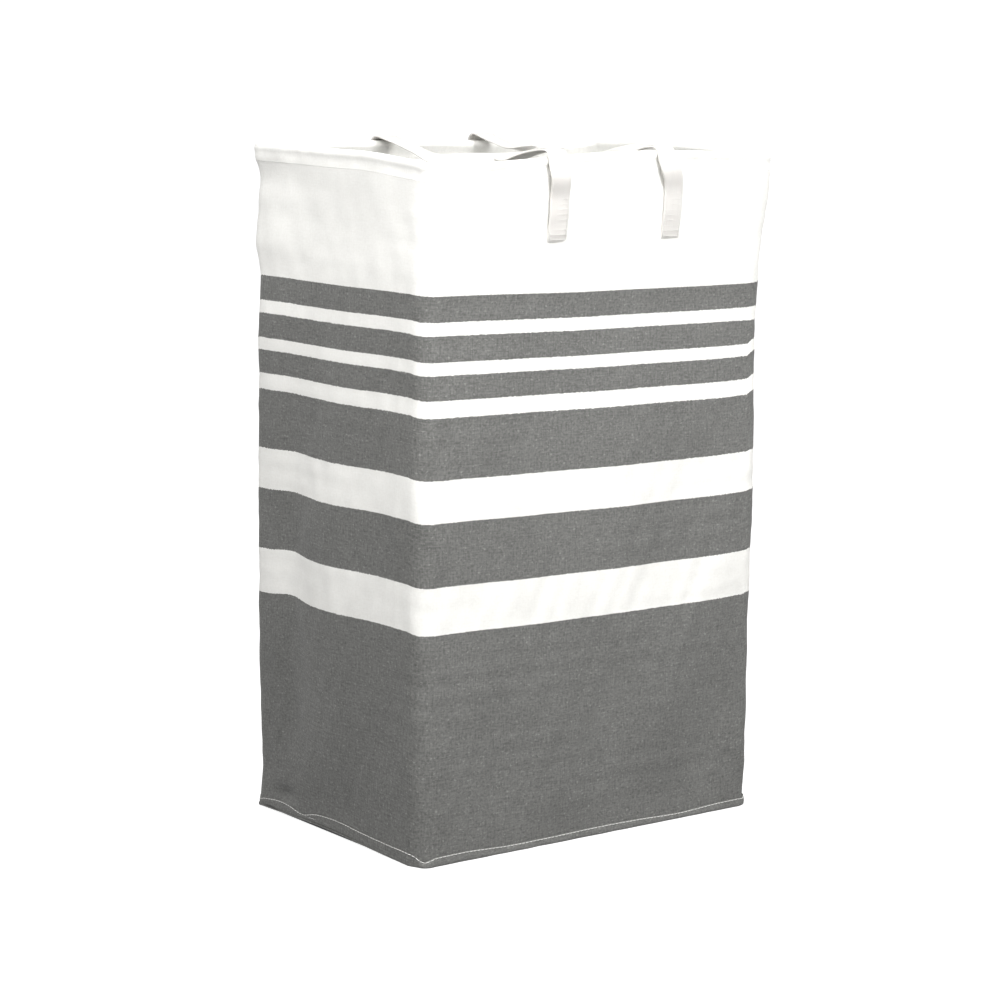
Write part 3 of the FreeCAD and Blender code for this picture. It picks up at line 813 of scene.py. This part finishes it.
class Recipe:
    """A material's node tree, with short ways to add nodes to it."""

    def __init__(self, name, **sockets):
        self.material = bpy.data.materials.new(name)
        self.material.use_nodes = True
        self.tree = self.material.node_tree
        self.shader = self.tree.nodes["Principled BSDF"]
        for socket, value in sockets.items():
            self.shader.inputs[socket.replace("_", " ")].default_value = value
        uv = self.tree.nodes.new("ShaderNodeUVMap")
        uv.uv_map = "UVMap"
        split = self.tree.nodes.new("ShaderNodeSeparateXYZ")
        self.tree.links.new(uv.outputs[0], split.inputs[0])
        self.u, self.v = split.outputs[0], split.outputs[1]

    def node(self, kind, *values, out=0, **settings):
        made = self.tree.nodes.new(f"ShaderNode{kind}")
        for name, value in settings.items():
            setattr(made, name, value)
        for k, value in enumerate(values):
            if value is not None:
                self.feed(made.inputs[k], value)
        return made.outputs[out]

    def feed(self, socket, value):
        if isinstance(value, bpy.types.NodeSocket):
            self.tree.links.new(value, socket)
        else:
            socket.default_value = value

    def maths(self, operation, a, b=None, c=None):
        return self.node("Math", a, b, c, operation=operation)

    def at(self, u_scale, v_scale, depth=0.0):
        across, up = self.maths("MULTIPLY", self.u, u_scale), self.maths("MULTIPLY", self.v, v_scale)
        return self.node("CombineXYZ", across, up, depth)

    def noise(self, u_scale, v_scale, depth=0.0, detail=2.0, rough=0.5):
        """Noise from 0 to 1 with that many grains per metre each way."""
        made = self.tree.nodes.new("ShaderNodeTexNoise")
        self.feed(made.inputs["Vector"], self.at(u_scale, v_scale, depth))
        made.inputs["Scale"].default_value = 1.0
        made.inputs["Detail"].default_value = detail
        made.inputs["Roughness"].default_value = rough
        return made.outputs[0]

    def spread(self, value, low, high, new_low, new_high):
        return self.node("MapRange", value, low, high, new_low, new_high, clamp=True)

    def mix(self, share, a, b, blend="MIX"):
        made = self.tree.nodes.new("ShaderNodeMix")
        made.data_type, made.blend_type = "RGBA", blend
        for k, value in ((0, share), (6, a), (7, b)):
            self.feed(made.inputs[k], value)
        return made.outputs[2]

    def finish(self, colour, height, strength, depth, rough=None):
        self.tree.links.new(colour, self.shader.inputs["Base Color"])
        bump = self.tree.nodes.new("ShaderNodeBump")
        bump.inputs["Strength"].default_value = strength
        bump.inputs["Distance"].default_value = depth
        self.tree.links.new(height, bump.inputs["Height"])
        self.tree.links.new(bump.outputs[0], self.shader.inputs["Normal"])
        if rough is not None:
            self.tree.links.new(rough, self.shader.inputs["Roughness"])
        return self.material


# The print: levels in metres where grey and cream meet, from the floor up. It starts grey.
PRINT_EDGES = [
    0.2074, 0.2494, 0.3060, 0.3436, 0.3979, 0.4129, 0.4345, 0.4459, 0.4686, 0.4804, FOLD_Z,
]


def weave_height(recipe, pitch):
    """Plain weave: warp and weft threads take turns on top."""
    turn = 2 * math.pi / pitch
    over = recipe.maths("SINE", recipe.maths("MULTIPLY", recipe.u, turn))
    under = recipe.maths("SINE", recipe.maths("MULTIPLY", recipe.v, turn))
    return recipe.spread(recipe.maths("MULTIPLY", over, under), -1.0, 1.0, 0.0, 1.0)


def printed_cloth():
    recipe = Recipe("printed_cloth", Sheen_Weight=0.12, Sheen_Roughness=0.5, Specular_IOR_Level=0.25)
    fuzz = recipe.spread(recipe.noise(650, 650, 1.0), 0.3, 0.7, -0.0005, 0.0005)
    level, passed = recipe.maths("ADD", recipe.v, fuzz), 0.0
    for edge in PRINT_EDGES:
        passed = recipe.maths("ADD", passed, recipe.maths("GREATER_THAN", level, edge))
    grey_share = recipe.maths("PINGPONG", recipe.maths("ADD", passed, 1.0), 1.0)
    warp = recipe.noise(900, 75, 3.0, 2.0)
    weft = recipe.noise(65, 950, 5.0, 2.0)
    heather = recipe.noise(400, 430, 13.0, 3.0, 0.6)
    yarn = recipe.maths("MULTIPLY", recipe.maths("ADD", warp, weft), 0.5)
    mottle = recipe.maths("MULTIPLY", recipe.maths("ADD", yarn, heather), 0.5)
    patch = recipe.noise(16, 13, 7.0, 4.0, 0.6)
    fleck = recipe.noise(340, 430, 9.0, 1.0, 0.4)
    slub = recipe.noise(130, 760, 11.0, 2.0)

    tone = recipe.spread(mottle, 0.38, 0.62, 0.0, 1.0)
    cream = recipe.mix(tone, (0.815, 0.805, 0.77, 1), (0.872, 0.867, 0.836, 1))
    grey = recipe.mix(tone, (0.104, 0.104, 0.099, 1), (0.198, 0.198, 0.189, 1))
    light = recipe.spread(fleck, 0.62, 0.76, 0.0, 0.34)
    grey = recipe.mix(light, grey, (0.42, 0.42, 0.40, 1))
    streak = recipe.spread(slub, 0.62, 0.78, 0.0, 0.14)
    grey = recipe.mix(streak, grey, (0.38, 0.38, 0.36, 1))
    shade = recipe.spread(patch, 0.3, 0.7, 0.93, 1.06)
    colour = recipe.mix(grey_share, cream, grey)
    colour = recipe.mix(1.0, colour, recipe.node("CombineColor", shade, shade, shade), "MULTIPLY")
    height = recipe.maths("ADD", weave_height(recipe, 0.00076), recipe.maths("MULTIPLY", yarn, 1.2))
    rough = recipe.spread(yarn, 0.3, 0.7, 0.97, 0.84)
    return recipe.finish(colour, height, 0.5, 0.0002, rough)


def webbing():
    """Cream herringbone tape: slanted ribs that turn at the middle of each narrow band, with painted
    shade in the grooves between the ribs.
    """
    recipe = Recipe("webbing", Sheen_Weight=0.15, Sheen_Roughness=0.5, Specular_IOR_Level=0.25)
    zigzag = recipe.maths("PINGPONG", recipe.u, 0.0037)
    slant = recipe.maths("ADD", recipe.v, zigzag)
    rib = recipe.maths("SINE", recipe.maths("MULTIPLY", slant, 2 * math.pi / 0.0015))
    rib = recipe.spread(rib, -1.0, 1.0, 0.0, 1.0)
    strand = recipe.noise(1200, 60, 2.0, 2.0)
    patch = recipe.noise(60, 30, 4.0, 2.0)
    # partly painted shade: the tone is darker in the grooves between the ribs; the strands add a random
    # tone of the yarn
    tone = recipe.maths("ADD", recipe.maths("MULTIPLY", rib, 0.5), recipe.maths("MULTIPLY", strand, 0.5))
    tone = recipe.spread(tone, 0.2, 0.8, 0.0, 1.0)
    colour = recipe.mix(tone, (0.57, 0.552, 0.529, 1), (0.69, 0.676, 0.649, 1))
    warm = recipe.mix(recipe.spread(patch, 0.35, 0.65, 0.0, 0.25), colour, (0.653, 0.612, 0.58, 1))
    height = recipe.maths("ADD", rib, recipe.maths("MULTIPLY", strand, 0.6))
    return recipe.finish(warm, height, 0.6, 0.0003, recipe.spread(strand, 0.3, 0.7, 0.93, 0.8))


def film():
    """Soft white waterproof film with fine crinkles, a little glossier than cloth."""
    recipe = Recipe("waterproof_film", Specular_IOR_Level=0.4, Subsurface_Weight=0.0)
    crinkle = recipe.noise(45, 38, 2.0, 5.0, 0.6)
    grain = recipe.noise(420, 420, 3.0, 2.0)
    cloudy = recipe.noise(9, 12, 6.0, 2.0)
    tone = recipe.spread(cloudy, 0.3, 0.7, 0.0, 1.0)
    colour = recipe.mix(tone, (0.80, 0.80, 0.785, 1), (0.86, 0.86, 0.845, 1))
    height = recipe.maths("ADD", crinkle, recipe.maths("MULTIPLY", grain, 0.12))
    return recipe.finish(colour, height, 0.5, 0.0016, recipe.spread(grain, 0.3, 0.7, 0.42, 0.6))


def narrow_tape():
    recipe = Recipe("seam_tape", Sheen_Weight=0.1, Specular_IOR_Level=0.3)
    rib = recipe.maths("SINE", recipe.maths("MULTIPLY", recipe.v, 2 * math.pi / 0.0012))
    rib = recipe.spread(rib, -1.0, 1.0, 0.0, 1.0)
    strand = recipe.noise(1400, 50, 2.0, 2.0)
    colour = recipe.mix(strand, (0.76, 0.75, 0.72, 1), (0.88, 0.87, 0.84, 1))
    height, rough = recipe.maths("ADD", rib, strand), recipe.spread(strand, 0.3, 0.7, 0.9, 0.75)
    return recipe.finish(colour, height, 0.5, 0.0002, rough)


def sewing_thread():
    """Twisted white thread: its plies run slantwise round it, and the grooves between them carry painted
    shade.
    """
    recipe = Recipe("sewing_thread", Sheen_Weight=0.2, Specular_IOR_Level=0.35)
    along, round_it = recipe.maths("MULTIPLY", recipe.v, 5200), recipe.maths("MULTIPLY", recipe.u, 2100)
    ply_and_painted_shade = recipe.maths("SINE", recipe.maths("ADD", along, round_it))
    ply_and_painted_shade = recipe.spread(ply_and_painted_shade, -1.0, 1.0, 0.0, 1.0)
    # painted shade: the colour darkens along the grooves between the plies, where the bump also dips
    colour = recipe.mix(ply_and_painted_shade, (0.60, 0.595, 0.57, 1), (0.78, 0.775, 0.75, 1))
    return recipe.finish(colour, ply_and_painted_shade, 0.4, 0.0001, recipe.spread(ply_and_painted_shade, 0.0, 1.0, 0.8, 0.65))


def drawn_steel():
    recipe = Recipe("steel_wire", Metallic=1.0)
    scratch = recipe.noise(4000, 20, 2.0, 3.0)
    tarnish = recipe.noise(120, 40, 5.0, 3.0)
    tarnish = recipe.spread(tarnish, 0.4, 0.7, 0.0, 1.0)
    colour = recipe.mix(tarnish, (0.58, 0.58, 0.59, 1), (0.46, 0.45, 0.44, 1))
    return recipe.finish(colour, scratch, 0.3, 0.0001, recipe.spread(scratch, 0.3, 0.7, 0.28, 0.45))


def pressed_aluminium():
    recipe = Recipe("ferrule", Metallic=1.0)
    scratch = recipe.noise(900, 1400, 2.0, 4.0)
    colour = recipe.mix(scratch, (0.74, 0.74, 0.75, 1), (0.84, 0.84, 0.85, 1))
    return recipe.finish(colour, scratch, 0.3, 0.0001, recipe.spread(scratch, 0.3, 0.7, 0.3, 0.5))


def plain_board():
    """Grey extruded board, with the fine lines of its making. The CAD's mesh has no UV map."""
    material = bpy.data.materials.new("stiffening_board")
    material.use_nodes = True
    tree = material.node_tree
    shader = tree.nodes["Principled BSDF"]
    place = tree.nodes.new("ShaderNodeTexCoord")
    stretch = tree.nodes.new("ShaderNodeMapping")
    stretch.inputs["Scale"].default_value = (600, 12, 600)
    lines = tree.nodes.new("ShaderNodeTexNoise")
    lines.inputs["Scale"].default_value = 1.0
    ramp = tree.nodes.new("ShaderNodeValToRGB")
    ramp.color_ramp.elements[0].color = (0.045, 0.046, 0.048, 1)
    ramp.color_ramp.elements[1].color = (0.085, 0.086, 0.09, 1)
    bump = tree.nodes.new("ShaderNodeBump")
    bump.inputs["Distance"].default_value = 0.0002
    tree.links.new(place.outputs["Object"], stretch.inputs[0])
    tree.links.new(stretch.outputs[0], lines.inputs["Vector"])
    tree.links.new(lines.outputs[0], ramp.inputs[0])
    tree.links.new(ramp.outputs[0], shader.inputs["Base Color"])
    tree.links.new(lines.outputs[0], bump.inputs["Height"])
    tree.links.new(bump.outputs[0], shader.inputs["Normal"])
    shader.inputs["Roughness"].default_value = 0.55
    return material


# ---- surroundings ----

FLOOR_PAINT, FLOOR_GLOW, ROOM_GLOW = 0.42, 0.88, 1.05
FLOOR_RADIUS, ROOM_RADIUS, FLOOR_DROP = 18, 20, 0.0005
LIGHT_BELOW, LIGHT_ABOVE = 0.35, 0.62              # of the sky's light, at its foot and its top


def emissive(name, base, glow):
    """A matt grey surface that also glows."""
    material = bpy.data.materials.new(name)
    material.use_nodes = True
    shader = material.node_tree.nodes["Principled BSDF"]
    shader.inputs["Base Color"].default_value = (base, base, base, 1)
    shader.inputs["Roughness"].default_value = 0.9
    shader.inputs["Emission Color"].default_value = (1, 1, 1, 1)
    shader.inputs["Emission Strength"].default_value = glow
    return material


def only_seen(thing, name, material):
    """A piece of the surroundings that is seen but sends no light to the hamper."""
    thing.name = name
    thing.data.materials.append(material)
    thing.visible_diffuse = thing.visible_glossy = thing.visible_transmission = False


def make_stage():
    """A pale floor in a white room. The light comes from the sky and the lamps alone."""
    bpy.ops.mesh.primitive_circle_add(
        vertices=96, radius=FLOOR_RADIUS, fill_type="NGON", location=(0, 0, -FLOOR_DROP)
    )
    only_seen(bpy.context.object, "floor", emissive("pale_floor", FLOOR_PAINT, FLOOR_GLOW))
    bpy.ops.mesh.primitive_uv_sphere_add(segments=64, ring_count=32, radius=ROOM_RADIUS)
    room = bpy.context.object
    room.visible_shadow = False
    only_seen(room, "room", emissive("white_room", 0.0, ROOM_GLOW))
    world = bpy.data.worlds.new("sky")
    world.use_nodes = True
    tree = world.node_tree
    place = tree.nodes.new("ShaderNodeTexCoord")
    split = tree.nodes.new("ShaderNodeSeparateXYZ")
    height = tree.nodes.new("ShaderNodeMapRange")
    ends = {"From Min": -0.3, "From Max": 0.3, "To Min": LIGHT_BELOW, "To Max": LIGHT_ABOVE}
    for socket, value in ends.items():
        height.inputs[socket].default_value = value
    background = tree.nodes["Background"]
    background.inputs[0].default_value = (1, 1, 1, 1)
    tree.links.new(place.outputs["Generated"], split.inputs[0])
    tree.links.new(split.outputs[2], height.inputs[0])
    tree.links.new(height.outputs[0], background.inputs[1])
    bpy.context.scene.world = world
    bpy.context.scene.view_settings.view_transform = "Standard"


def area_light(name, place, target, size, power):
    data = bpy.data.lights.new(name, "AREA")
    data.shape, data.size, data.energy = "DISK", size, power
    light = bpy.data.objects.new(name, data)
    light.location = place
    light.rotation_euler = (Vector(target) - Vector(place)).to_track_quat("-Z", "Y").to_euler()
    light.visible_camera = False
    bpy.context.scene.collection.objects.link(light)


def make_lights():
    area_light("right_lamp", (0.05, -1.22, 1.45), (0, 0, 0.4), 0.8, 26)
    area_light("left_lamp", (-1.0, -0.5, 1.35), (0, 0, 0.4), 0.6, 15)


def build():
    make_camera()
    cloth, film_material, tape, thread = printed_cloth(), film(), narrow_tape(), sewing_thread()
    strap = webbing()
    make_walls(cloth, film_material)
    make_hems(cloth)
    make_hem_stitching(thread)
    make_lip(cloth, thread)
    make_floor_sheets(cloth, film_material)
    make_tapes(tape)
    make_hoop(drawn_steel(), pressed_aluminium())
    for row in HANDLES:
        make_handle(row, strap, thread)
    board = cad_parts["base_board"]
    board.data.materials.clear()
    board.data.materials.append(plain_board())
    make_stage()
    make_lights()


build()
